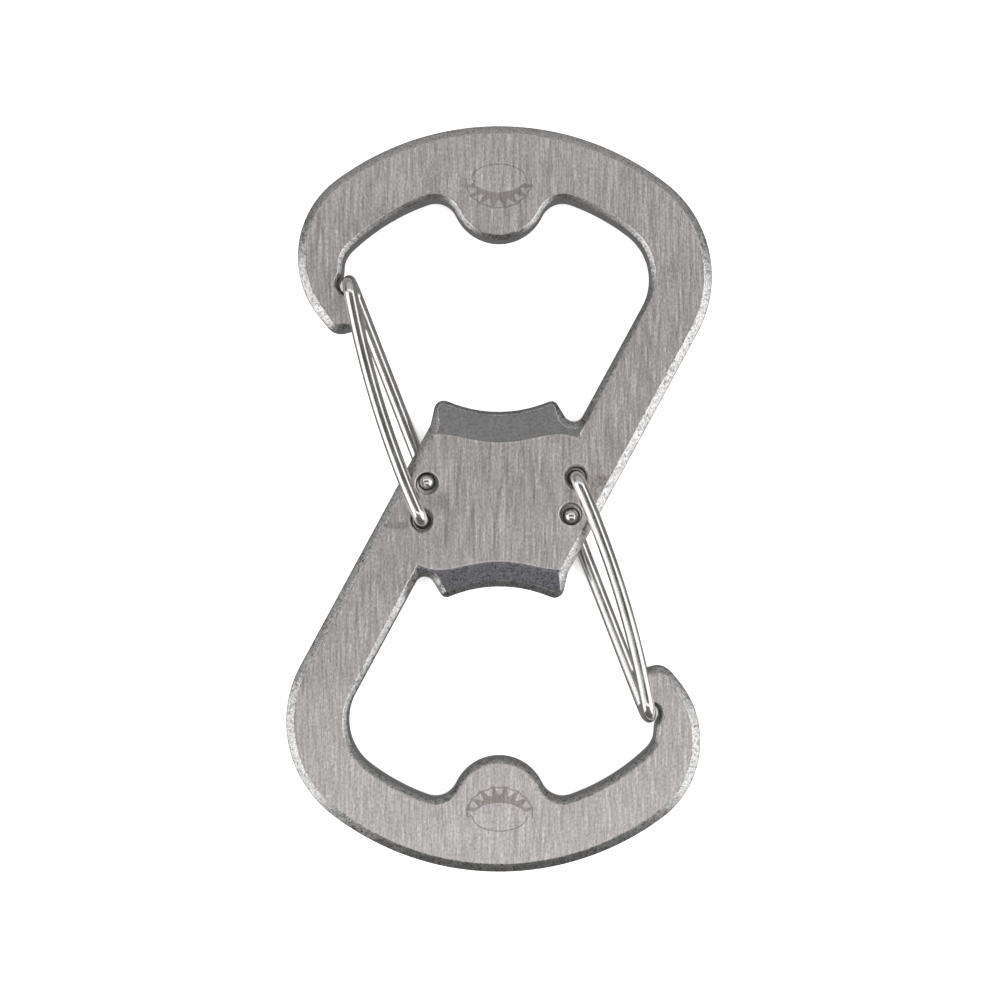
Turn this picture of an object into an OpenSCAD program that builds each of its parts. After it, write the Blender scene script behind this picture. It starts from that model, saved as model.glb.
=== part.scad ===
// Double-ended S-shaped snap hook with two bottle openers.
// One flat steel plate carries two loops, and each loop is closed by a sprung gate of round wire.
// The plate lies in the XY plane, centred on Z = 0. Its long axis is Y and its faces look along +Z and -Z.
// The lower half is the upper half turned 180 degrees about Z, so only the upper half is described.

/* [Plate] */
// Thickness of the plate
plate_t = 4.0; // [3:0.1:5]
// Depth of the bevel that runs round both faces, measured through the thickness
bevel_depth = 0.5; // [0.3:0.05:0.8]
// Angle between neighbouring points on the rounded corners of the outline
corner_step = 6; // [3:1:12]

/* [Hub lips] */
// Width of the ground bevel behind each hub lip, measured on the face
lip_bevel_w = 3.0; // [2:0.1:3.5]
// Depth of the ground bevel at the edge of the lip
lip_bevel_depth = 0.8; // [0.6:0.1:1.5]

/* [Gate holes] */
// Diameter of the hole that the front leg turns in
front_hole_d = 2.1; // [1.9:0.05:2.2]
// Diameter of the hole that the back leg turns in, wide enough for the play of its head
back_hole_d = 2.3; // [2.3:0.05:2.5]
// Diameter of the countersink where a leg bends into its hole
leg_sink_d = 2.7; // [2.5:0.05:3]
// Diameter of the small countersink round a leg's head
head_sink_d = 2.5; // [2.4:0.05:2.7]
// Diameter of the notch in the nose that the wire rests in
notch_d = 2.1; // [2:0.05:2.3]
// Diameter of the countersink round the notch
notch_sink_d = 2.9; // [2.6:0.05:3.2]

/* [Gate wire] */
// Diameter of the wire
wire_d = 1.4; // [1.2:0.05:1.5]
// Gap between a leg and the face of the plate
leg_gap = 0.2; // [0.1:0.05:0.5]
// Diameter of the round head on each end of the wire
head_d = 1.8; // [1.6:0.05:1.8]
// How far the top of a head lies below the face
head_below_face = 0.05; // [0:0.05:0.3]
// Radius of the wire's centre line where a leg bends into its hole
hole_bend_r = 1.1; // [0.9:0.05:1.3]
// Radius of the wire's centre line at the corners of the U-bend
u_bend_r = 1.5; // [1.2:0.05:1.8]
// Direction in which the front leg leaves its hole, from +Y towards -X
front_leg_heading = 23.6; // [20:0.1:26]
// Radius of the front leg's bow
front_bow_r = 100; // [90:1:130]
// Turn of the front leg along its bow
front_bow_angle = 13.1; // [12:0.1:14]
// Gap where the two modelled halves of the wire meet, in the middle of the U-bend
split_gap = 0.02; // [0.01:0.01:0.1]
// Play that the closed gate leaves between the back leg's head and the centre of its hole
back_leg_play = 0.21; // [0.18:0.01:0.22]

/* [Hidden] */

steel = [0.62, 0.61, 0.60];
bright_wire = [0.80, 0.79, 0.78];

// Widths of the edge bevel on the faces
rim = 0.85;     // along the outside of the hook
blunt = 0.7;    // round the tip of the nose
inner = 0.48;   // along the inside of the loops
small = 0.4;    // on the small corners of the nose and the hub

// Centres of the two holes and of the notch that belong to the upper gate
front_hole = [-7.85, -2.2];
back_hole = [-7.3, 1.55];
notch = [-15.35, 22.0];

// Upper half of the outline, anticlockwise: [x, y, corner radius, bevel width].
// Each row is the crossing of two tangents, and its radius rounds that corner.
upper_half = [
    [7.0, -7.5, 2, rim],            // side of the hub
    [25.2, 26.1, 12, rim],          // right shoulder
    [0, 44.8, 27.8, rim],           // crown
    [-20.5, 29.6, 9.6, rim],        // left shoulder
    [-20.5, 21.2, 9.5, rim],        // flank of the nose
    [-16.9, 16.8, 1.7, blunt],      // tip of the nose
    [-14.1, 17.6, 1.1, small],      // inner corner of the nose
    [-14.9, 20.9, 0.5, small],      // below the notch
    [-15.95, 21.9, 0.5, small],     // above the notch
    [-15.95, 24.8, 2.7, inner],     // inner corner over the nose
    [-11.6, 28.85, 21.8, inner],    // under the crown, left
    [-5.45, 31.05, 2.3, inner],     // hollow left of the opener's tongue
    [0, 20.8, 4.9, inner],          // opener's tongue
    [5.45, 31.05, 2.3, inner],      // hollow right of the tongue
    [10.45, 29.25, 21.8, inner],    // under the crown, right
    [17.1, 24.25, 5.7, inner],      // inner corner of the right shoulder
    [7.65, 6.85, 1.05, inner],      // root of the hub
    [5.65, 10.2, 0.7, small],       // right corner of the lip
    [0, 8.0, lip_r(), small],       // hollow lip
    [-6.4, 10.45, 1, small]         // left corner of the lip
];
// The lip is an arc about this point, and its ground bevel is a cone about the same point
lip_centre = [0, 22.1];
function lip_r() = 13.1;

outline_corners = concat(upper_half, [for (c = upper_half) [-c.x, -c.y, c[2], c[3]]]);

leg_z = plate_t / 2 + leg_gap + wire_d / 2;
head_z = plate_t / 2 - head_below_face - head_d / 2;
margin = 0.2;
ball_d = wire_d + 0.04;
fine = 48;

// ---- Outline -------------------------------------------------------------------------------

function unit(v) = v / norm(v);
function left_of(v) = [-v.y, v.x];

// Points of one rounded corner, each as [point, outward normal, bevel width]
function rounded_corner(before, here, after) =
    let (
        way_in = unit([here.x - before.x, here.y - before.y]),
        way_out = unit([after.x - here.x, after.y - here.y]),
        side = sign(way_in.x * way_out.y - way_in.y * way_out.x),
        turn = acos(way_in * way_out),
        start = [here.x, here.y] - here[2] * tan(turn / 2) * way_in,
        centre = start + side * here[2] * left_of(way_in),
        steps = max(2, ceil(turn / corner_step))
    )
    [for (i = [0:steps])
        let (
            a = side * turn * i / steps,
            spoke = -side * left_of(way_in),
            dir = [spoke.x * cos(a) - spoke.y * sin(a), spoke.x * sin(a) + spoke.y * cos(a)]
        )
        [centre + here[2] * dir, side * dir, here[3]]];

corner_count = len(outline_corners);
outline = [for (i = [0:corner_count - 1])
    each rounded_corner(
        outline_corners[(i + corner_count - 1) % corner_count],
        outline_corners[i],
        outline_corners[(i + 1) % corner_count])];

// Ring of triangular section that cuts the bevel off the upper rim of the plate
module rim_bevel_cutter() {
    n = len(outline);
    over = 0.1;
    section = [for (p = outline)
        let (slope = p[2] / bevel_depth)
        [
            concat(p[0] - p[1] * slope * (bevel_depth + over), plate_t / 2 + over),
            concat(p[0] + p[1] * margin, plate_t / 2 - bevel_depth - margin / slope),
            concat(p[0] + p[1] * margin, plate_t / 2 + over)
        ]];
    polyhedron(
        points = [for (s = section) each s],
        faces = [for (i = [0:n - 1], k = [0:2])
            let (
                a = 3 * i + k,
                b = 3 * i + (k + 1) % 3,
                c = 3 * ((i + 1) % n) + k,
                d = 3 * ((i + 1) % n) + (k + 1) % 3
            )
            each [[a, b, d], [a, d, c]]]);
}

// Cone that grinds the bevel behind the upper lip into the +Z face
module lip_bevel_cutter() {
    slope = lip_bevel_w / lip_bevel_depth;
    over = 0.5;
    intersection() {
        translate([lip_centre.x, lip_centre.y, plate_t / 2 - lip_bevel_depth - over])
            cylinder(
                h = lip_bevel_depth + 2 * over,
                r1 = lip_r() - slope * over,
                r2 = lip_r() + lip_bevel_w + slope * over,
                $fn = 4 * fine);
        translate([-9, 4, 0])
            cube([16.6, 8, plate_t]);
    }
}

// Hole through the plate with a countersink on each face
module sunk_hole(at, d, sink_top, sink_bottom) {
    translate([at.x, at.y, 0]) {
        cylinder(h = plate_t + 2, d = d, center = true, $fn = fine);
        sink(d, sink_top);
        mirror([0, 0, 1]) sink(d, sink_bottom);
    }
}

module sink(d, sink_d) {
    depth = (sink_d - d) / 2;
    translate([0, 0, plate_t / 2 - depth])
        cylinder(h = depth + margin, d1 = d, d2 = sink_d + 2 * margin, $fn = fine);
}

// ---- Plate ---------------------------------------------------------------------------------

module frame() {
    color(steel)
        difference() {
            linear_extrude(height = plate_t, center = true)
                polygon([for (p = outline) p[0]]);
            for (face = [0, 1])
                mirror([0, 0, face]) {
                    rim_bevel_cutter();
                    for (half = [0, 180])
                        rotate([0, 0, half]) lip_bevel_cutter();
                }
            for (half = [0, 180])
                rotate([0, 0, half]) {
                    sunk_hole(front_hole, front_hole_d, leg_sink_d, head_sink_d);
                    sunk_hole(back_hole, back_hole_d, head_sink_d, leg_sink_d);
                    sunk_hole(notch, notch_d, notch_sink_d, notch_sink_d);
                }
        }
}

// ---- Gate wire -----------------------------------------------------------------------------

function heading(a) = [-sin(a), cos(a)];

// Centre line of the front leg seen from above: out of the hole, along the bow, to the U-bend
bow_start = front_hole + hole_bend_r * heading(front_leg_heading);
bow_centre = bow_start - front_bow_r * left_of(heading(front_leg_heading));
u_heading = front_leg_heading - front_bow_angle;
bow_end = bow_centre + front_bow_r * left_of(heading(u_heading));
u_bend = bow_end + u_bend_r * heading(u_heading);

// The back leg is straight, and its head sits a little short of the centre of its hole
back_way = unit(u_bend - back_hole);
back_end = back_hole + back_leg_play * back_way;
back_heading = atan2(-back_way.x, back_way.y);
back_length = norm(u_bend - back_end);

// Quarter bend of wire from the -X direction into the -Z direction, its corner at the origin
module quarter_bend(r) {
    translate([r, 0, -r])
        rotate([90, 0, 0])
            rotate([0, 0, 90])
                rotate_extrude(angle = 90, $fn = 2 * fine)
                    translate([r, 0]) circle(d = wire_d, $fn = fine);
}

// Wire along Z between two heights
module upright_wire(low, high) {
    translate([0, 0, low]) cylinder(h = high - low, d = wire_d, $fn = fine);
}

// End of a leg in its hole, with the bend up to leg height; the leg leaves along +X
module leg_end() {
    translate([0, 0, -head_z]) sphere(d = head_d, $fn = fine);
    upright_wire(-head_z, leg_z - hole_bend_r);
    translate([0, 0, leg_z]) quarter_bend(hole_bend_r);
}

// Half of the U-bend down to the middle of the plate; the leg leaves along +X
module half_u_bend() {
    translate([0, 0, leg_z]) quarter_bend(u_bend_r);
    upright_wire(split_gap / 2, leg_z - u_bend_r);
}

// Ball, a hair wider than the wire, where two lengths of a leg join; its poles lie along the wire
module joint_ball(at, towards) {
    translate([at.x, at.y, leg_z])
        rotate([0, 0, towards])
            rotate([90, 0, 0])
                sphere(d = ball_d, $fn = fine);
}

module front_leg() {
    translate([front_hole.x, front_hole.y, 0])
        rotate([0, 0, 90 + front_leg_heading]) leg_end();
    joint_ball(bow_start, front_leg_heading);
    joint_ball(bow_end, u_heading);
    translate([bow_centre.x, bow_centre.y, leg_z])
        rotate([0, 0, 180 + u_heading])
            rotate_extrude(angle = front_bow_angle, $fn = 16 * fine)
                translate([front_bow_r, 0]) circle(d = wire_d, $fn = fine);
    translate([u_bend.x, u_bend.y, 0])
        rotate([0, 0, 270 + u_heading]) half_u_bend();
}

// The back leg lies under the plate: it is made above it, then mirrored
module back_leg() {
    mirror([0, 0, 1]) {
        translate([back_end.x, back_end.y, 0])
            rotate([0, 0, 90 + back_heading]) {
                leg_end();
                translate([hole_bend_r, 0, leg_z])
                    rotate([0, 90, 0])
                        cylinder(h = back_length - hole_bend_r - u_bend_r, d = wire_d, $fn = fine);
            }
        joint_ball(u_bend - u_bend_r * back_way, back_heading);
        translate([u_bend.x, u_bend.y, 0])
            rotate([0, 0, 270 + back_heading]) half_u_bend();
    }
}

module upper_gate_front_leg() { color(bright_wire) front_leg(); }
module upper_gate_back_leg() { color(bright_wire) back_leg(); }
module lower_gate_front_leg() { color(bright_wire) rotate([0, 0, 180]) front_leg(); }
module lower_gate_back_leg() { color(bright_wire) rotate([0, 0, 180]) back_leg(); }

frame();
upper_gate_front_leg();
upper_gate_back_leg();
lower_gate_front_leg();
lower_gate_back_leg();
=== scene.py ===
"""Looks of the double-ended snap hook: brushed plate, bright wire gates, floor, lights and camera.

Lengths in the model's description are in millimetres, as on a drawing, and become metres when a mesh
is made. The lower half of the hook is the upper half turned 180 degrees about Z, but for the bevels of
its lip.
"""
import math

import bpy
import numpy as np
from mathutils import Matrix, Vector
from mathutils.geometry import delaunay_2d_cdt


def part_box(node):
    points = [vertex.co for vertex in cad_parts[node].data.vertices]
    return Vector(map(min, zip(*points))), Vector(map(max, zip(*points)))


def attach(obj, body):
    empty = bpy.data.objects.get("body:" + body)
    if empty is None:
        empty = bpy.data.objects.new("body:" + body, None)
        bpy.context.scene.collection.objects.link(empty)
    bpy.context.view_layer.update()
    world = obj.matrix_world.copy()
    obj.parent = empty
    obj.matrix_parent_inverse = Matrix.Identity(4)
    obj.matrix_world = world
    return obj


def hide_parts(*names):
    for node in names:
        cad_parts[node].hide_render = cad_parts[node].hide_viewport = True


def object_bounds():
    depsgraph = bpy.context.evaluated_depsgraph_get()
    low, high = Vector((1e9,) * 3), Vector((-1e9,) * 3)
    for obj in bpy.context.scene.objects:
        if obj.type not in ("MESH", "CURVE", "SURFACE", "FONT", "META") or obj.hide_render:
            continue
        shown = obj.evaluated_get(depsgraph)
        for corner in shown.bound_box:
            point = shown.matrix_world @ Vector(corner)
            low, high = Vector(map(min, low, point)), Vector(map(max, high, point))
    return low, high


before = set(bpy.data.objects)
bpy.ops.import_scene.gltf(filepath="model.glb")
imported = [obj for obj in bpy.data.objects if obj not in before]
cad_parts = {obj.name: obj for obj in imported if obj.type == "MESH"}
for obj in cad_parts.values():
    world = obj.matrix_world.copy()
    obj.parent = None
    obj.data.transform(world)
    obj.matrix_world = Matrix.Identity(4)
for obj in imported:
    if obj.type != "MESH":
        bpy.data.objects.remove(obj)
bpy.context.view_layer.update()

MM = 0.001

# ---- Sizes of the plate, in millimetres -----------------------------------------------------

plate_low, plate_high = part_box("frame")
HALF_PLATE = (plate_high.z - plate_low.z) / 2 / MM
BEVEL_DEPTH = 0.5

# Widths of the edge bevel
RIM = 0.85                           # round the outside
BLUNT = 0.7                          # tip of the nose
INNER = 0.5                          # inside of the loops
ROOT = 0.7                           # where the strut leaves the hub
SMALL = 0.4                          # sharp corners of the nose
LIP = 0.35                           # hub lip of the upper loop
LOWER_LIP = 0.62                     # hub lip of the lower loop

LIP_R = 13.1
# Upper half of the outline, anticlockwise: x, y, corner radius, bevel width
UPPER_HALF = [
    (7.0, -7.5, 2, RIM),            # side of the hub
    (25.2, 26.1, 12, RIM),          # right shoulder
    (0, 44.8, 27.8, RIM),           # crown
    (-20.5, 29.6, 9.6, RIM),        # left shoulder
    (-20.5, 21.2, 9.5, RIM),        # flank of the nose
    (-16.9, 16.8, 1.7, BLUNT),      # tip of the nose
    (-14.1, 17.6, 1.1, SMALL),      # inner corner of the nose
    (-14.9, 20.9, 0.5, SMALL),      # below the notch
    (-15.95, 21.9, 0.5, SMALL),     # above the notch
    (-15.95, 24.8, 2.7, INNER),     # inner corner over the nose
    (-11.6, 28.85, 21.8, INNER),    # under the crown, left
    (-5.45, 31.05, 2.3, INNER),     # hollow left of the opener's tongue
    (0, 20.8, 4.9, INNER),          # opener's tongue
    (5.45, 31.05, 2.3, INNER),      # hollow right of the tongue
    (10.45, 29.25, 21.8, INNER),    # under the crown, right
    (17.1, 24.25, 5.7, INNER),      # inner corner of the right shoulder
    (7.65, 6.85, 1.05, ROOT),       # root of the hub
    (5.65, 10.2, 0.7, LIP),         # right corner of the lip
    (0, 8.0, LIP_R, LIP),           # hollow lip
    (-6.4, 10.45, 1, LIP),          # left corner of the lip
]

FRONT_HOLE = (-7.85, -2.2)
BACK_HOLE = (-7.3, 1.55)
# Centre, bore radius and the countersinks' radii at the front and at the back
HUB_HOLES = [
    (FRONT_HOLE, 1.05, (1.35, 1.25)),
    (BACK_HOLE, 1.15, (1.25, 1.35)),
]
HOLE_SEGMENTS = 72
SINK_ROUND = 0.06                    # rounding of a countersink's rim

NOTCH = (-15.35, 22.0)
NOTCH_R = 1.05
NOTCH_BEVEL = 0.4
NOTCH_POINTS = 24

OUTLINE_STEP = 0.3                   # greatest spacing of the outline's points
ARC_STEPS = 4                        # fewest steps in a rounded corner
ARC_STEP_TURN = math.radians(6)      # greatest turn in one step

NEARLY_STRAIGHT = 1e-3               # a smaller turn between two stretches does not limit the bevel
# A bevel's width on a convex corner, at most, as a share of the corner's radius
BEVEL_SHARE = 0.6
LOWER_LIP_SHARE = 0.75
LOWER_LIP_X = 6.3                    # reach of the lower lip's edge to either side
LOWER_LIP_Y = (-11, -7.6)
TAPER = 0.45                         # how fast the bevel widens beside a tight corner
TAPER_ROUNDS = 20

# Rounded borders of the bevel: length, and the most it takes of the bevel's width
WALL_ROUND, WALL_ROUND_SHARE = 0.13, 0.3
FACE_ROUND, FACE_ROUND_SHARE = 0.08, 0.2
ROUND_ROWS = 4

# The ground bevel behind each lip, where half 1 is the upper loop's lip and -1 the lower one's
LIP_SLOPE = 0.27
LIP_SOFTNESS = {1: 0.12, -1: 0.05}   # softness of the bevel's start
SOFT_REACH = 3                       # how many softnesses before its start the bevel begins
LIP_START = {1: 5.72, -1: 6.35}      # where the start crosses the Y axis
LIP_BOW = (0.045, -0.0006)           # how the start rises with the second and fourth powers of X
LIP_X = 9.5                          # the bevel stays within this to either side, and
LIP_Y = (3, 12)                      # within this range
LIP_ROW_X = (-9.5, 8.5)              # the rows of points that shape it run over this range
LIP_ROWS = (-0.3, -0.15, 0.15, 0.3, 0.6, 0.95, 1.3, 1.65, 2.0, 2.35, 2.7, 3.05, 3.4)
LIP_LINE_STEP, LIP_ROW_STEP = 0.25, 0.3
RING_GAP = 0.12                      # smallest distance of those points from the bevel's border
# Share of the edge bevel's depth that is lost where the lip is at least this deep
LIP_EDGE_LOSS, LIP_EDGE_FADE = 0.2, 0.4
# A line along the strut's inner edge, beside which the ground bevel runs out
STRUT_FOOT, STRUT_WAY = np.array([7.95, 6.0]), np.array([0.477, 0.879])
RUN_OUT_SLOPE = 0.7

CDT_TOLERANCE = 1e-7
FLAT_TOLERANCE = 1e-4

# ---- Sizes of the wires, in millimetres -----------------------------------------------------

WIRE_R = 0.7
HEAD_R = 0.9
HEAD_ANGLES = np.radians([88, 80, 70, 60, 50, 40, 30, 20, 10, 0, -10, -20, -30, -36])
NECK = ((0.05, 0.712), (0.12, WIRE_R))     # distance behind the head, and radius
LEG_Z = HALF_PLATE + 0.2 + WIRE_R          # middle of a leg, 0.2 clear of the plate
HEAD_Z = HALF_PLATE - 0.05 - HEAD_R        # middle of a head, whose top is 0.05 below the face
HOLE_BEND_R = 1.1
U_BEND_R = 1.5
FRONT_HEADING = math.radians(23.6)         # how far left of +Y a front leg leaves its hole
BOW_R = 100.0                              # a front leg curves back with this radius
BOW_TURN = math.radians(13.1)
BACK_LEG_PLAY = 0.21                       # how far off the hole's centre the back leg's head sits
END_GAP = 0.002                            # from a leg's end to the middle of the plate's thickness
HOLE_BEND_STEPS, BOW_STEPS, U_BEND_STEPS = 12, 36, 16
STRAIGHT_STEP = 0.8
WIRE_SEGMENTS = 40
OBLIQUE = (0.3, 0.5, 0.81)                 # a direction in which no wire runs
SHARP = math.radians(60)


# ---- Outline of the plate -------------------------------------------------------------------

def unit(v):
    """The vector at length 1."""
    return v / np.linalg.norm(v)


def left_of(v):
    """The vector turned 90 degrees to the left."""
    return np.array([-v[1], v[0]])


def rounded_corner(before, here, after, radius):
    """Points on the arc that rounds a corner."""
    way_in, way_out = unit(here - before), unit(after - here)
    side = np.sign(way_in[0] * way_out[1] - way_in[1] * way_out[0])
    turn = math.acos(np.clip(way_in @ way_out, -1, 1))
    centre = here - radius * math.tan(turn / 2) * way_in + side * radius * left_of(way_in)
    steps = max(ARC_STEPS, math.ceil(turn * radius / OUTLINE_STEP), math.ceil(turn / ARC_STEP_TURN))
    spoke = -side * left_of(way_in)
    a = side * turn * np.arange(steps + 1) / steps
    return centre + radius * np.stack([
        spoke[0] * np.cos(a) - spoke[1] * np.sin(a),
        spoke[0] * np.sin(a) + spoke[1] * np.cos(a)], 1)


def stretch(start, end, width_a, width_b):
    """Points inside a straight stretch, with the bevel width changing evenly along it."""
    steps = max(1, math.ceil(np.linalg.norm(end - start) / OUTLINE_STEP))
    share = np.arange(1, steps)[:, None] / steps
    return np.hstack([start + (end - start) * share, width_a + (width_b - width_a) * share])


def half_outline():
    """Upper half of the outline as rows of x, y and bevel width, with the gate's notch cut in."""
    rows = np.array(UPPER_HALF, float)
    turned = rows * [-1, -1, 1, 1]
    loop = np.vstack([turned[-1], rows, turned[0]])
    pieces, last = [], None
    for before, here, after in zip(loop, loop[1:], loop[2:]):
        arc = rounded_corner(before[:2], here[:2], after[:2], here[2])
        if last is not None:
            pieces.append(stretch(last[:2], arc[0], last[2], here[3]))
        pieces.append(np.hstack([arc, np.full((len(arc), 1), here[3])]))
        last = pieces[-1][-1]
    first_of_other_half = -pieces[0][0, :2]
    pieces.append(stretch(last[:2], first_of_other_half, last[2], rows[0, 3]))
    return cut_notch(np.vstack(pieces))


def crossing(p, q, radius):
    """Where the line from p to q enters the circle about the origin."""
    d = q - p
    root = math.sqrt((p @ d) ** 2 - (d @ d) * (p @ p - radius**2))
    return p + (-(p @ d) - root) / (d @ d) * d


def cut_notch(rows):
    """Replaces the outline inside the notch's circle by the circle's arc."""
    centre = np.array(NOTCH)
    places = rows[:, :2] - centre
    inside = np.where(np.linalg.norm(places, axis=1) < NOTCH_R)[0]
    first, last = inside[0], inside[-1]
    start = crossing(places[first - 1], places[first], NOTCH_R)
    end = crossing(places[last + 1], places[last], NOTCH_R)
    a0, a1 = math.atan2(start[1], start[0]), math.atan2(end[1], end[0])
    a = a0 - (a0 - a1) % (2 * math.pi) * np.linspace(0, 1, NOTCH_POINTS)
    arc = np.column_stack([centre[0] + NOTCH_R * np.cos(a), centre[1] + NOTCH_R * np.sin(a),
                           np.full(len(a), NOTCH_BEVEL)])
    return soften(np.vstack([rows[:first], arc, rows[last + 1:]]), [first, first + len(arc) - 1])


def soften(rows, corners, reach=5, rounds=12):
    """Rounds the outline slightly about sharp corners."""
    for corner in corners:
        for _ in range(rounds):
            near = slice(corner - reach, corner + reach + 1)
            before = rows[corner - reach - 1:corner + reach]
            after = rows[corner - reach + 1:corner + reach + 2]
            rows[near] = 0.5 * rows[near] + 0.25 * (before + after)
    return rows


def outline():
    """Points of the whole outline, outward normals and bevel widths."""
    half = half_outline()
    rows = np.vstack([half, half * [-1, -1, 1]])
    points, widths = rows[:, :2], rows[:, 2]
    before, after = points - np.roll(points, 1, 0), np.roll(points, -1, 0) - points
    length_a, length_b = np.linalg.norm(before, axis=1), np.linalg.norm(after, axis=1)
    along = before / length_a[:, None] + after / length_b[:, None]
    along /= np.linalg.norm(along, axis=1)[:, None]
    normals = np.stack([along[:, 1], -along[:, 0]], 1)
    # on a tight convex corner the bevel stays narrower than the corner's radius
    cross = (before[:, 0] * after[:, 1] - before[:, 1] * after[:, 0]) / (length_a * length_b)
    radius = 0.5 * (length_a + length_b) / np.clip(cross, NEARLY_STRAIGHT, None)
    widths = np.minimum(widths, BEVEL_SHARE * radius)
    x, y = points.T
    lower_lip = (np.abs(x) < LOWER_LIP_X) & (y > LOWER_LIP_Y[0]) & (y < LOWER_LIP_Y[1])
    widths[lower_lip] = np.minimum(LOWER_LIP, LOWER_LIP_SHARE * radius[lower_lip])
    for _ in range(TAPER_ROUNDS):
        widths = np.minimum(widths, np.roll(widths, 1) + TAPER * length_a)
        widths = np.minimum(widths, np.roll(widths, -1) + TAPER * length_b)
    return points, normals, widths


# ---- Bevels ---------------------------------------------------------------------------------

def lip_start(x, half):
    """Where the ground bevel of a lip begins, as Y for a given X, in the lip's own half."""
    return LIP_START[half] + LIP_BOW[0] * x**2 + LIP_BOW[1] * x**4


def past_strut(x, y):
    """Distance to the left of the line along the strut's inner edge."""
    return (np.stack([x, y], 1) - STRUT_FOOT) @ left_of(STRUT_WAY)


def lip_depth(xy):
    """How far the ground bevels behind the two lips lie below the face."""
    total = np.zeros(len(xy))
    for half in (1, -1):
        x, y = half * xy[:, 0], half * xy[:, 1]
        soft = LIP_SOFTNESS[half]
        beyond = y - lip_start(x, half)
        # a slope with a softened start, brought down to zero where the lip's range begins
        depth = LIP_SLOPE * soft * (np.logaddexp(0, beyond / soft) - np.logaddexp(0, -SOFT_REACH))
        inside = (beyond > -SOFT_REACH * soft) & (y > LIP_Y[0]) & (y < LIP_Y[1]) & (np.abs(x) < LIP_X)
        depth = np.minimum(depth, RUN_OUT_SLOPE * past_strut(x, y))
        total += np.where(inside, np.clip(depth, 0, None), 0)
    return total


def bevel_rows(widths):
    """Rows of the edge bevel from the side wall to the face: inward distance and depth per point."""
    zero = np.zeros_like(widths)
    a, b = np.stack([zero, zero + BEVEL_DEPTH]), np.stack([widths, zero])
    along = (b - a) / np.linalg.norm(b - a, axis=0)
    round_a = np.minimum(WALL_ROUND, WALL_ROUND_SHARE * widths)
    round_b = np.minimum(FACE_ROUND, FACE_ROUND_SHARE * widths)
    rows = []
    for corner, before, after in (
        (a, a + np.stack([zero, round_a]), a + along * round_a),
        (b, b - along * round_b, b + np.stack([round_b, zero])),
    ):
        for s in np.linspace(0, 1, ROUND_ROWS):
            rows.append((1 - s) ** 2 * before + 2 * s * (1 - s) * corner + s**2 * after)
    return rows


def inside_polygon(xy, polygon):
    """True for the points that lie inside a closed polygon."""
    hits = np.zeros(len(xy), int)
    x, y = xy[:, 0], xy[:, 1]
    for (x1, y1), (x2, y2) in zip(polygon, np.roll(polygon, -1, 0)):
        if y1 != y2:
            crosses = (y1 > y) != (y2 > y)
            hits += crosses & (x < (x2 - x1) * (y - y1) / (y2 - y1) + x1)
    return hits % 2 == 1


def distance_to_loop(xy, loop):
    """Shortest distance from each point to a closed loop of points."""
    best = np.full(len(xy), np.inf)
    for p, q in zip(loop, np.roll(loop, -1, 0)):
        d = q - p
        t = np.clip(((xy - p) @ d) / (d @ d + 1e-12), 0, 1)
        best = np.minimum(best, np.linalg.norm(xy - p - t[:, None] * d, axis=1))
    return best


def clear_of(xy, ring):
    """The points that lie inside the ring and not close to it."""
    xy = xy[inside_polygon(xy, ring)]
    return xy[distance_to_loop(xy, ring) > RING_GAP]


def lip_boundary(ring, half):
    """The line where a lip's bevel meets the face, from one point of the ring to another."""
    x = np.arange(*LIP_ROW_X, LIP_LINE_STEP)
    line = clear_of(half * np.stack([x, lip_start(x, half)], 1), ring)
    ends = [np.argmin(np.linalg.norm(ring - line[k], axis=1)) for k in (0, -1)]
    return ends[0], line, ends[1]


def lip_points(ring, half):
    """Rows of points that give a lip's bevel its curved shape, every second one staggered."""
    found = []
    for k, beyond in enumerate(LIP_ROWS):
        x = np.arange(*LIP_ROW_X, LIP_ROW_STEP) + LIP_ROW_STEP / 2 * (k % 2)
        found.append(half * np.stack([x, lip_start(x, half) + beyond], 1))
    return clear_of(np.vstack(found), ring)


# ---- Plate ----------------------------------------------------------------------------------

FACE, UPPER_LIP_FACE, LOWER_LIP_FACE, MARK, BEVEL, WALL = range(6)


class Shell:
    """Growing lists of vertices, faces and material slots."""

    def __init__(self):
        self.verts, self.faces, self.slots = [], [], []

    def row(self, xy, z):
        """Adds one row of vertices and returns their numbers."""
        first = len(self.verts)
        self.verts += [(x, y, h) for (x, y), h in zip(xy, np.broadcast_to(z, len(xy)))]
        return list(range(first, len(self.verts)))

    def face(self, corners, slot):
        """Adds one face."""
        self.faces.append(corners)
        self.slots.append(slot)

    def band(self, lower, upper, slot):
        """Joins two closed rows; seen from outside, upper lies to the left of the rows' way."""
        for i, j in zip(range(len(lower)), list(range(1, len(lower))) + [0]):
            self.face([lower[i], lower[j], upper[j], upper[i]], slot)

    def bands(self, rows, front, slots):
        """Joins rows one after another, the other way round on the back."""
        order = rows if front == 1 else [row[::-1] for row in rows]
        for lower, upper, slot in zip(order, order[1:], slots):
            self.band(lower, upper, slot)


class Layout:
    """Points and edges of one face of the plate, with the vertex numbers that they have already."""

    def __init__(self):
        self.points, self.numbers, self.edges = [], [], []

    def add(self, xy, numbers=None):
        """Adds points and returns their places in the list."""
        first = len(self.points)
        self.points += [Vector(p) for p in xy]
        self.numbers += numbers or [None] * len(xy)
        return list(range(first, len(self.points)))

    def add_loop(self, xy, numbers=None):
        """Adds points joined to a closed loop."""
        places = self.add(xy, numbers)
        self.edges += zip(places, places[1:] + places[:1])

    def add_line(self, start, xy, end):
        """Adds points joined to a line between two points that are there already."""
        chain = [start, *self.add(xy), end]
        self.edges += zip(chain, chain[1:])


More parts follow.
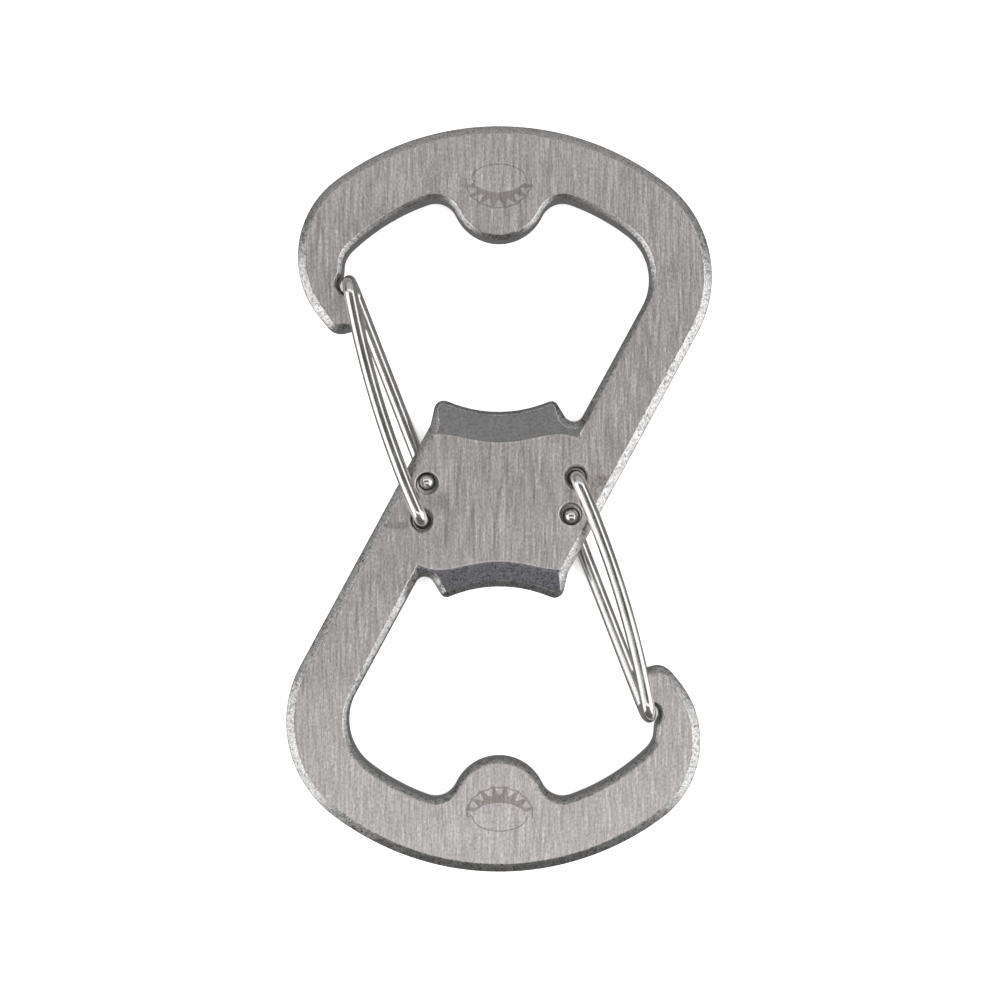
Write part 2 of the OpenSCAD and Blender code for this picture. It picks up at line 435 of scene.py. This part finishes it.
def circle(centre, radius):
    """Points of a circle, anticlockwise."""
    a = 2 * math.pi * np.arange(HOLE_SEGMENTS) / HOLE_SEGMENTS
    return np.stack([centre[0] + radius * np.cos(a), centre[1] + radius * np.sin(a)], 1)


def sink_rows(bore, sink):
    """Radius and height above the middle of a countersink, from its rounded rim down to the bore."""
    top, depth, soft = HALF_PLATE, sink - bore, SINK_ROUND
    return [(sink + soft, top), (sink + soft / 6, top - soft / 4), (sink - soft * 2 / 3, top - soft),
            ((bore + sink) / 2, top - depth / 2), (bore + soft / 2, top - depth + soft / 3),
            (bore, top - depth - soft)]


def add_edge_bevel(shell, front, points, normals, widths):
    """Adds the edge bevel of one side.

    Returns its row of vertices on the wall, its row on the face, and the places of the latter.
    """
    rows = []
    for inward, depth in bevel_rows(widths):
        xy = points - normals * inward[:, None]
        ground = lip_depth(xy)
        share = 1 - LIP_EDGE_LOSS * np.clip(ground / LIP_EDGE_FADE, 0, 1)
        rows.append(shell.row(xy, front * (HALF_PLATE - depth * share - ground)))
    shell.bands(rows, front, [WALL] + [BEVEL] * (len(rows) - 2))
    return rows[0], rows[-1], xy


def plate_shell(marks):
    """The whole plate: walls, bevels, ground lips, sunk holes, and marks on the front face."""
    shell = Shell()
    edge = outline()
    holes = [((half * x, half * y), bore, sinks)
             for half in (1, -1) for (x, y), bore, sinks in HUB_HOLES]
    wall_rows, bore_rows = {}, {}
    for front in (1, -1):
        wall_rows[front], rim, ring = add_edge_bevel(shell, front, *edge)
        layout = Layout()
        layout.add_loop(ring, rim)
        rims, bore_rows[front] = [], []
        for centre, bore, sinks in holes:
            sink = sinks[0] if front == 1 else sinks[1]
            ladder = [shell.row(circle(centre, r), front * z) for r, z in sink_rows(bore, sink)]
            shell.bands(ladder, front, [FACE] * (len(ladder) - 1))
            bore_rows[front].append(ladder[-1])
            rims.append(circle(centre, sink + SINK_ROUND))
            layout.add_loop(rims[-1], ladder[0])
        add_face(shell, front, layout, ring, rims, marks if front == 1 else [])
    shell.band(wall_rows[-1], wall_rows[1], WALL)
    for front_row, back_row in zip(bore_rows[1], bore_rows[-1]):
        shell.band(front_row, back_row, WALL)
    return shell


def face_slots(middle, marks):
    """Material slot for each triangle's middle: lips and marks differ from the rest of the face."""
    marked, slots = np.zeros(len(middle), bool), np.full(len(middle), FACE)
    for mark in marks:
        marked ^= inside_polygon(middle, mark)
    for half, slot in ((1, UPPER_LIP_FACE), (-1, LOWER_LIP_FACE)):
        x, y = half * middle[:, 0], half * middle[:, 1]
        ground = (y > lip_start(x, half)) & (y < LIP_Y[1]) & (np.abs(x) < LIP_X)
        slots[ground & (past_strut(x, y) > 0)] = slot
    slots[marked] = MARK
    return slots


def add_face(shell, front, layout, ring, rims, marks):
    """Fills one face of the plate between its rim, its holes and the outlines of the marks."""
    for mark in marks:
        layout.add_loop(mark)
    for half in (1, -1):
        layout.add_line(*lip_boundary(ring, half))
        layout.add(lip_points(ring, half))
    found = delaunay_2d_cdt(layout.points, layout.edges, [], 0, CDT_TOLERANCE)
    xy, triangles = np.array([tuple(v) for v in found[0]]), np.array(found[2])
    own = []
    for origins, q in zip(found[3], xy):
        known = [layout.numbers[k] for k in origins if layout.numbers[k] is not None]
        own += known[:1] or shell.row([q], front * (HALF_PLATE - lip_depth(q[None])))
    middle = xy[triangles].mean(1)
    keep = inside_polygon(middle, ring)
    for rim in rims:
        keep &= ~inside_polygon(middle, rim)
    for corners, slot in zip(triangles[keep], face_slots(middle, marks)[keep]):
        face = [own[c] for c in corners]
        shell.face(face if front == 1 else face[::-1], slot)


def make_object(name, verts, faces, materials, slots=None):
    """A smooth-shaded object from vertices in millimetres."""
    mesh = bpy.data.meshes.new(name)
    mesh.from_pydata([Vector(v) * MM for v in verts], [], [list(map(int, f)) for f in faces])
    obj = bpy.data.objects.new(name, mesh)
    bpy.context.scene.collection.objects.link(obj)
    for material in materials:
        mesh.materials.append(material)
    if slots is not None:
        mesh.polygons.foreach_set("material_index", slots)
    mesh.polygons.foreach_set("use_smooth", [True] * len(mesh.polygons))
    mesh.update()
    return obj


def shade_plate(mesh):
    """Smooth shading in which the flat parts of the faces stay flat."""
    normals = [v.normal.copy() for v in mesh.vertices]
    for polygon in mesh.polygons:
        if polygon.material_index in (FACE, MARK):
            for k in polygon.vertices:
                z = mesh.vertices[k].co.z
                if abs(abs(z) / MM - HALF_PLATE) < FLAT_TOLERANCE:
                    normals[k] = Vector((0, 0, math.copysign(1, z)))
    mesh.normals_split_custom_set_from_vertices(normals)


# ---- Marks ----------------------------------------------------------------------------------

SIGN_PLACES = ((-0.05, 32.55, -1), (0.05, -32.3, 1))     # x, y, and the side that the skirt is on
PLEATS = 9
SKIRT_SPREAD = 200                   # degrees
SKIRT_SIZE = (3.55, 2.9)
SKIRT_LIFT = 0.25
SKIRT_SCALLOP = 0.05                 # depth of the hollow between two pleats' ends
PLEAT_STEPS = 6
CAP_OUTER, CAP_INNER = (2.8, 1.52), (2.66, 1.4)
FAR_SIDE = (172, 368)                # degrees of the oval that the skirt leaves free
# Corners of a pleat's mark: share of half the pleat's angle, and share of the skirt's size
PLEAT = ((-0.72, 0.93), (0, 0.9), (0.72, 0.93), (0.55, 0.8), (0.2, 0.68), (-0.2, 0.68), (-0.55, 0.8))


def ellipse(radii, count=64, start=0, end=360):
    """Points of an oval about the origin, or of a part of it between two angles in degrees."""
    a = np.radians(np.linspace(start, end, count, endpoint=abs(end - start) < 360))
    return np.stack([radii[0] * np.cos(a), radii[1] * np.sin(a)], 1)


def on_skirt(angle, share):
    """A point of the crown cap's skirt."""
    a = math.radians(angle)
    return share * SKIRT_SIZE[0] * math.cos(a), SKIRT_LIFT + share * SKIRT_SIZE[1] * math.sin(a)


def cap_sign(cx, cy, up):
    """Loops of a plain crown cap: an oval top, and a pleated skirt on its side towards up (1 or -1)."""
    edge = [90 + SKIRT_SPREAD * (k / PLEATS - 0.5) for k in range(PLEATS + 1)]
    skirt = [on_skirt(a + (b - a) * s, 1 - SKIRT_SCALLOP * math.sin(math.pi * s))
             for a, b in zip(edge, edge[1:]) for s in np.arange(PLEAT_STEPS) / PLEAT_STEPS]
    far_side = ellipse(CAP_OUTER, 40, *FAR_SIDE)
    loops = [np.vstack([skirt, far_side]), ellipse(CAP_INNER)]
    for a, b in zip(edge, edge[1:]):
        middle, half = (a + b) / 2, (b - a) / 2
        loops.append(np.array([on_skirt(middle + half * turn, share) for turn, share in PLEAT]))
    return [q * [1, up] + [cx, cy] for q in loops]


# ---- Wire -----------------------------------------------------------------------------------

def heading(a):
    """The direction in the plate's plane that is turned left from +Y by an angle."""
    return np.array([-math.sin(a), math.cos(a), 0.0])


def arc_between(start, way, end_way, radius, steps):
    """Points and directions on an arc that leaves start in direction way and ends in direction end_way."""
    turn = math.acos(np.clip(way @ end_way, -1, 1))
    side = unit(end_way - (end_way @ way) * way)
    out = []
    for a in turn * np.arange(1, steps + 1) / steps:
        point = start + radius * (math.sin(a) * way + (1 - math.cos(a)) * side)
        out.append((point, math.cos(a) * way + math.sin(a) * side))
    return out


def sweep(path, radii):
    """Tube along (point, direction) pairs with a radius at each, closed with a flat cap at both ends."""
    verts, faces = [], []
    count = WIRE_SEGMENTS
    ref = unit(np.cross(path[0][1], OBLIQUE))
    for (p, d), r in zip(path, radii):
        ref = unit(ref - (ref @ d) * d)
        other = np.cross(d, ref)
        for a in 2 * math.pi * np.arange(count) / count:
            verts.append(p + r * (math.cos(a) * ref + math.sin(a) * other))
    for first in range(0, len(verts) - count, count):
        for k in range(count):
            m = (k + 1) % count
            faces.append([first + k, first + m, first + count + m, first + count + k])
    faces.append(list(range(count))[::-1])
    faces.append(list(range(len(verts) - count, len(verts))))
    return verts, faces


def head_rows(tip, way):
    """The upset round head at a wire's end and the first of the straight wire behind it."""
    rows = [(tip + way * HEAD_R * (1 - math.sin(a)), way) for a in HEAD_ANGLES]
    radii = [HEAD_R * math.cos(a) for a in HEAD_ANGLES]
    last = HEAD_R * (1 - math.sin(HEAD_ANGLES[-1]))
    for distance, r in NECK:
        rows.append((tip + way * (last + distance), way))
        radii.append(r)
    return rows, radii


def straight(path, length):
    """Lengthens a path straight on."""
    p, d = path[-1]
    steps = max(1, math.ceil(length / STRAIGHT_STEP))
    path += [(p + d * length * k / steps, d) for k in range(1, steps + 1)]


def leg_start(hole, way, side):
    """A leg's head, its run through the hole, and the bend onto the plate's side 1 (front) or -1."""
    up = np.array([0, 0, float(side)])
    path, radii = head_rows(np.array([*hole, -side * (HEAD_Z + HEAD_R)]), up)
    straight(path, LEG_Z - HOLE_BEND_R - side * path[-1][0][2])
    path += arc_between(path[-1][0], up, way, HOLE_BEND_R, HOLE_BEND_STEPS)
    return path, radii


def leg_end(path, radii, side):
    """Takes a leg through its half of the U-bend and gives the rest of it the wire's radius."""
    path += arc_between(*path[-1], np.array([0, 0, -float(side)]), U_BEND_R, U_BEND_STEPS)
    straight(path, LEG_Z - U_BEND_R - END_GAP)
    return path, radii + [WIRE_R] * (len(path) - len(radii))


def front_leg():
    """Path and radii of the upper gate's front leg, which bows outwards."""
    way = heading(FRONT_HEADING)
    path, radii = leg_start(FRONT_HOLE, way, 1)
    path += arc_between(path[-1][0], way, heading(FRONT_HEADING - BOW_TURN), BOW_R, BOW_STEPS)
    return leg_end(path, radii, 1)


def back_leg(u_bend):
    """Path and radii of the upper gate's back leg, which runs straight to the middle of the U-bend."""
    hole = np.array(BACK_HOLE)
    way = unit(u_bend - hole)
    start = hole + BACK_LEG_PLAY * way
    path, radii = leg_start(start, np.array([*way, 0.0]), -1)
    straight(path, np.linalg.norm(u_bend - start) - HOLE_BEND_R - U_BEND_R)
    return leg_end(path, radii, -1)


# ---- Materials ------------------------------------------------------------------------------

MIX_A, MIX_B, MIX_RESULT = 6, 7, 2   # the colour sockets of a Mix node
# Brownish rubs beside the front holes: centre and reach in millimetres, and how dark
SCUFFS = [
    ((10.3, 1.3), (1.3, 1.5), 0.45),
    ((-10.4, -2.7), (1.9, 0.45), 0.3),
    ((-6.1, -0.2), (1.3, 1.2), 0.18),
]
BROWN = (1, 1.12, 1.2)               # how much more a rub takes from green and blue than from red


def steel(name, tint, roughness):
    """A metal, its node tree and its shader."""
    material = bpy.data.materials.new(name)
    material.use_nodes = True
    bsdf = material.node_tree.nodes["Principled BSDF"]
    bsdf.inputs["Base Color"].default_value = (*tint, 1)
    bsdf.inputs["Metallic"].default_value = 1.0
    bsdf.inputs["Roughness"].default_value = roughness
    return material, material.node_tree, bsdf


def place(tree, output="Object"):
    """Coordinates of the shaded point."""
    return tree.nodes.new("ShaderNodeTexCoord").outputs[output]


def axes(tree, vector):
    """The X, Y and Z of a vector, by name."""
    split = tree.nodes.new("ShaderNodeSeparateXYZ")
    tree.links.new(vector, split.inputs["Vector"])
    return split.outputs


def stretched_noise(tree, scale, detail, roughness=0.6):
    """Noise in object coordinates, with its own scale along each axis."""
    mapping = tree.nodes.new("ShaderNodeMapping")
    mapping.inputs["Scale"].default_value = scale
    noise = tree.nodes.new("ShaderNodeTexNoise")
    noise.inputs["Scale"].default_value = 1.0
    noise.inputs["Detail"].default_value = detail
    noise.inputs["Roughness"].default_value = roughness
    tree.links.new(place(tree), mapping.inputs["Vector"])
    tree.links.new(mapping.outputs["Vector"], noise.inputs["Vector"])
    return noise.outputs["Fac"]


def ramp(tree, source, stops):
    """Colour for a value, from (position, colour) stops; a colour given as one number is a grey."""
    stops = [(at, (*np.broadcast_to(color, 3), 1)) for at, color in stops]
    node = tree.nodes.new("ShaderNodeValToRGB")
    elements = node.color_ramp.elements
    for k in (0, -1):
        elements[k].position, elements[k].color = stops[k]
    for at, color in stops[1:-1]:
        elements.new(at).color = color
    tree.links.new(source, node.inputs["Fac"])
    return node.outputs["Color"]


def to_range(tree, source, low, high, from_low=0.0, from_high=1.0):
    """A value carried over from one range to another."""
    node = tree.nodes.new("ShaderNodeMapRange")
    node.inputs["From Min"].default_value = from_low
    node.inputs["From Max"].default_value = from_high
    node.inputs["To Min"].default_value = low
    node.inputs["To Max"].default_value = high
    tree.links.new(source, node.inputs["Value"])
    return node.outputs["Result"]


def combine(tree, operation, a, b):
    """Two values added or multiplied."""
    node = tree.nodes.new("ShaderNodeMath")
    node.operation = operation
    tree.links.new(a, node.inputs[0])
    tree.links.new(b, node.inputs[1])
    return node.outputs["Value"]


def mix(tree, a, b, blend="MULTIPLY", factor=None):
    """Colour a blended with colour b, fully or by a factor."""
    node = tree.nodes.new("ShaderNodeMix")
    node.data_type = "RGBA"
    node.blend_type = blend
    node.inputs["Factor"].default_value = 1.0
    if factor is not None:
        tree.links.new(factor, node.inputs["Factor"])
    tree.links.new(a, node.inputs[MIX_A])
    tree.links.new(b, node.inputs[MIX_B])
    return node.outputs[MIX_RESULT]


def paint(tree, bsdf, tint, layers):
    """Gives the shader a tint multiplied by layers of colour."""
    base = tree.nodes.new("ShaderNodeRGB")
    base.outputs["Color"].default_value = (*tint, 1)
    color = base.outputs["Color"]
    for layer in layers:
        color = mix(tree, color, layer)
    tree.links.new(color, bsdf.inputs["Base Color"])


def bump(tree, bsdf, sources):
    """Chains bump nodes: sources are (height output, strength, distance)."""
    before = None
    for height, strength, distance in sources:
        node = tree.nodes.new("ShaderNodeBump")
        node.inputs["Strength"].default_value = strength
        node.inputs["Distance"].default_value = distance
        tree.links.new(height, node.inputs["Height"])
        if before is not None:
            tree.links.new(before, node.inputs["Normal"])
        before = node.outputs["Normal"]
    tree.links.new(before, bsdf.inputs["Normal"])


def scuff(tree, centre, reach, depth):
    """A soft-edged brownish spot on the front face, broken up by noise."""
    mapping = tree.nodes.new("ShaderNodeMapping")
    mapping.vector_type = "TEXTURE"
    mapping.inputs["Location"].default_value = (centre[0] * MM, centre[1] * MM, HALF_PLATE * MM)
    mapping.inputs["Scale"].default_value = (reach[0] * MM, reach[1] * MM, MM)
    ball = tree.nodes.new("ShaderNodeTexGradient")
    ball.gradient_type = "SPHERICAL"
    tree.links.new(place(tree), mapping.inputs["Vector"])
    tree.links.new(mapping.outputs["Vector"], ball.inputs["Vector"])
    broken = stretched_noise(tree, (1500, 1100, 1100), 4)
    amount = combine(tree, "MULTIPLY", to_range(tree, ball.outputs["Fac"], 0, 1, 0.05, 0.45),
                     to_range(tree, broken, 0, 1, 0.35, 0.6))
    return ramp(tree, amount, [(0.0, 1.0), (1.0, [1 - share * depth for share in BROWN])])


def brushed_face(name, tint, rough):
    """Face of the plate: fine grain along Y, a fine speckle, cloudy patches and a few dark pits."""
    material, tree, bsdf = steel(name, tint, rough)
    fine = stretched_noise(tree, (5600, 420, 300), 3)
    streak = stretched_noise(tree, (3000, 200, 60), 3)
    speck = stretched_noise(tree, (5200, 3000, 3000), 2)
    cloud = stretched_noise(tree, (170, 120, 100), 3)
    pits = stretched_noise(tree, (1900, 1500, 1500), 1)
    layers = [
        ramp(tree, fine, [(0.3, 0.76), (0.7, 1.20)]),
        ramp(tree, streak, [(0.3, (0.86, 0.85, 0.85)), (0.7, 1.09)]),
        ramp(tree, speck, [(0.3, 0.76), (0.7, 1.20)]),
        ramp(tree, cloud, [(0.3, (0.94, 0.94, 0.95)), (0.7, (1.04, 1.03, 1.02))]),
        ramp(tree, pits, [(0.17, 0.4), (0.2, 1.0)]),
    ]
    paint(tree, bsdf, tint, layers + [scuff(tree, *spot) for spot in SCUFFS])
    tree.links.new(to_range(tree, streak, rough - 0.04, rough + 0.05, 0.3, 0.7), bsdf.inputs["Roughness"])
    bump(tree, bsdf, [(fine, 0.6, 0.00006), (speck, 0.4, 0.00004)])
    return material


def tumbled(name, tint, rough, speckle, patchy=0.0, calm=(1.0, 2.0)):
    """Bevels, walls and ground lips: a fine random speckle, and coarser dark specks by patchy.

    The dark specks fade out over the range of Y given by calm, in metres.
    """
    material, tree, bsdf = steel(name, tint, rough)
    grit = stretched_noise(tree, (5200, 5200, 5200), 3)
    wave = stretched_noise(tree, (700, 700, 700), 2)
    specks = stretched_noise(tree, (2400, 2400, 2400), 4, 0.7)
    calmed = combine(tree, "ADD", specks, to_range(tree, axes(tree, place(tree))["Y"], 0, 0.2, *calm))
    paint(tree, bsdf, tint, [
        ramp(tree, grit, [(0.3, 1 - speckle), (0.6, 1.05)]),
        ramp(tree, calmed, [(0.40, 1 - patchy), (0.47, 1.0)]),
    ])
    tree.links.new(to_range(tree, wave, rough - 0.06, rough + 0.1, 0.3, 0.7), bsdf.inputs["Roughness"])
    bump(tree, bsdf, [(grit, 0.6, 0.00004), (specks, 0.5 * patchy, 0.0001)])
    return material


def bright_wire():
    """Drawn spring wire: nearly a mirror, with faint dark handling marks."""
    material, tree, bsdf = steel("bright_wire", (0.72, 0.71, 0.69), 0.16)
    smear = stretched_noise(tree, (900, 300, 900), 3)
    tone = ramp(tree, smear, [(0.3, (0.66, 0.64, 0.61)), (0.7, (0.80, 0.79, 0.78))])
    tree.links.new(tone, bsdf.inputs["Base Color"])
    tree.links.new(to_range(tree, smear, 0.13, 0.24, 0.3, 0.7), bsdf.inputs["Roughness"])
    bump(tree, bsdf, [(smear, 0.15, 0.00003)])
    return material


# In the order of the material slots
plate_materials = [
    brushed_face("brushed_face", (0.72, 0.69, 0.68), rough=0.38),
    tumbled("ground_lip", (0.27, 0.265, 0.265), rough=0.34, speckle=0.3, patchy=0.12),
    tumbled("dark_ground_lip", (0.30, 0.295, 0.32), rough=0.32, speckle=0.6, patchy=0.4),
    brushed_face("marked_steel", (0.45, 0.41, 0.39), rough=0.42),
    tumbled("tumbled_bevel", (0.63, 0.62, 0.61), rough=0.3, speckle=0.55, patchy=0.45, calm=(0.027, 0.032)),
    tumbled("plate_wall", (0.42, 0.41, 0.41), rough=0.34, speckle=0.2),
]
wire_steel = bright_wire()

# ---- Pieces ---------------------------------------------------------------------------------

shell = plate_shell([loop for sign in SIGN_PLACES for loop in cap_sign(*sign)])
plate = make_object("hook_plate", shell.verts, shell.faces, plate_materials, shell.slots)
shade_plate(plate.data)
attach(plate, "frame")
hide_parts("frame")

front_path, front_radii = front_leg()
u_bend = front_path[-1][0][:2]
legs = {"front": (front_path, front_radii), "back": back_leg(u_bend)}
for end, half in (("upper", 1), ("lower", -1)):
    for leg, (path, radii) in legs.items():
        verts, faces = sweep(path, radii)
        verts = [(half * x, half * y, z) for x, y, z in verts]
        wire = make_object(f"{end}_gate_wire_{leg}", verts, faces, [wire_steel])
        wire.data.set_sharp_from_angle(angle=SHARP)
        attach(wire, f"{end}_gate_{leg}")
        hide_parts(f"{end}_gate_{leg}_leg")

# ---- Floor, light and camera, in metres -----------------------------------------------------

FLOOR_SIZE = 4.0
FLOOR_GAP = 0.0002                   # below the lowest point of the hook
FLOOR_GLOW = 0.95
PAINTED_SHADE_REACH = 0.012                  # how far about the object the ambient occlusion reaches that paints shade onto the floor

LIGHT_DISTANCE = 0.8
# Azimuth and elevation in degrees, width, height, and power in watts. Azimuth 0 is the +X side,
# 90 the +Y side.
LIGHTS = {
    "left_box": (200, 20, 0.92, 0.7, 2.95),
    "right_box": (344, 19, 0.88, 0.72, 2.9),
    "left_strip": (180, 47, 0.95, 0.2, 0.75),
    "right_strip": (0, 48, 0.95, 0.32, 1.3),
    "top_box": (270, 73, 0.9, 0.2, 0.78),
    "back_box": (90, 62, 0.9, 0.2, 0.6),
}

CAMERA_PLACE = (0, -0.0052, 0.213)   # it looks straight down, so its rotation stays zero
LENS_RATIO = 2.077                   # focal length over the sensor's width
SENSOR_MM = 36
SHIFT = (0.0009, 0.05)


def floor_material():
    """Pale floor that glows like a lit sweep, with painted shade where the object closes it in: an ambient
    occlusion node darkens its glow and its colour.
    """
    material = bpy.data.materials.new("pale_floor")
    material.use_nodes = True
    tree = material.node_tree
    bsdf = tree.nodes["Principled BSDF"]
    bsdf.inputs["Roughness"].default_value = 0.9
    bsdf.inputs["Emission Strength"].default_value = FLOOR_GLOW
    enclosed = tree.nodes.new("ShaderNodeAmbientOcclusion")
    enclosed.inputs["Distance"].default_value = PAINTED_SHADE_REACH
    enclosed.samples = 8
    # painted shade: under the hook, in its holes and close beside it, the floor's glow and colour go dark
    glow_with_painted_shade = ramp(tree, enclosed.outputs["AO"], [(0.14, 0.02), (0.32, 0.93)])
    tree.links.new(glow_with_painted_shade, bsdf.inputs["Emission Color"])
    tree.links.new(glow_with_painted_shade, bsdf.inputs["Base Color"])
    return material


def make_floor(z):
    """A square floor that the steel does not mirror."""
    mesh = bpy.data.meshes.new("floor")
    far = FLOOR_SIZE / 2
    mesh.from_pydata([(-far, -far, 0), (far, -far, 0), (far, far, 0), (-far, far, 0)], [], [(0, 1, 2, 3)])
    mesh.materials.append(floor_material())
    obj = bpy.data.objects.new("floor", mesh)
    obj.location.z = z
    obj.visible_glossy = False
    bpy.context.scene.collection.objects.link(obj)
    return obj


def softbox(name, azimuth, elevation, width, height, power):
    """Area light that faces the middle of the hook."""
    data = bpy.data.lights.new(name, "AREA")
    data.shape = "RECTANGLE"
    data.size = width
    data.size_y = height
    data.energy = power
    light = bpy.data.objects.new(name, data)
    a, e = math.radians(azimuth), math.radians(elevation)
    way = Vector((math.cos(a) * math.cos(e), math.sin(a) * math.cos(e), math.sin(e)))
    light.location = way * LIGHT_DISTANCE
    light.rotation_euler = (-light.location).to_track_quat("-Z", "Y").to_euler()
    bpy.context.scene.collection.objects.link(light)


def studio_world():
    """The dim room that the steel mirrors: brightest towards +Y, and darkest half way between +Y and -Y."""
    world = bpy.data.worlds.new("studio")
    world.use_nodes = True
    tree = world.node_tree
    way = axes(tree, place(tree, "Generated"))
    across = ramp(tree, to_range(tree, way["Y"], 0, 1, -1, 1), [
        (0.0, 0.19), (0.25, 0.20), (0.5, 0.09), (0.72, 0.24), (0.85, 0.52), (1.0, 0.60)])
    above = mix(tree, across, ramp(tree, way["Z"], [(0.0, 0.5), (0.45, 1.0)]))
    below = ramp(tree, to_range(tree, way["Z"], 0, 1, -0.2, 0.05), [(0.0, 0.24), (1.0, 0.2)])
    horizon = mix(tree, below, above, "MIX", to_range(tree, way["Z"], 0, 1, -0.1, 0.05))
    background = tree.nodes["Background"]
    tree.links.new(horizon, background.inputs["Color"])
    background.inputs["Strength"].default_value = 1.0
    return world


def make_camera():
    """The photograph's camera."""
    data = bpy.data.cameras.new("camera")
    data.sensor_width = SENSOR_MM
    data.lens = SENSOR_MM * LENS_RATIO
    data.shift_x, data.shift_y = SHIFT
    camera = bpy.data.objects.new("camera", data)
    camera.location = CAMERA_PLACE
    bpy.context.scene.collection.objects.link(camera)
    return camera


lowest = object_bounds()[0].z
floor = make_floor(lowest - FLOOR_GAP)
for name, values in LIGHTS.items():
    softbox(name, *values)
scene = bpy.context.scene
scene.world = studio_world()
scene.camera = make_camera()
scene.view_settings.view_transform = "Standard"
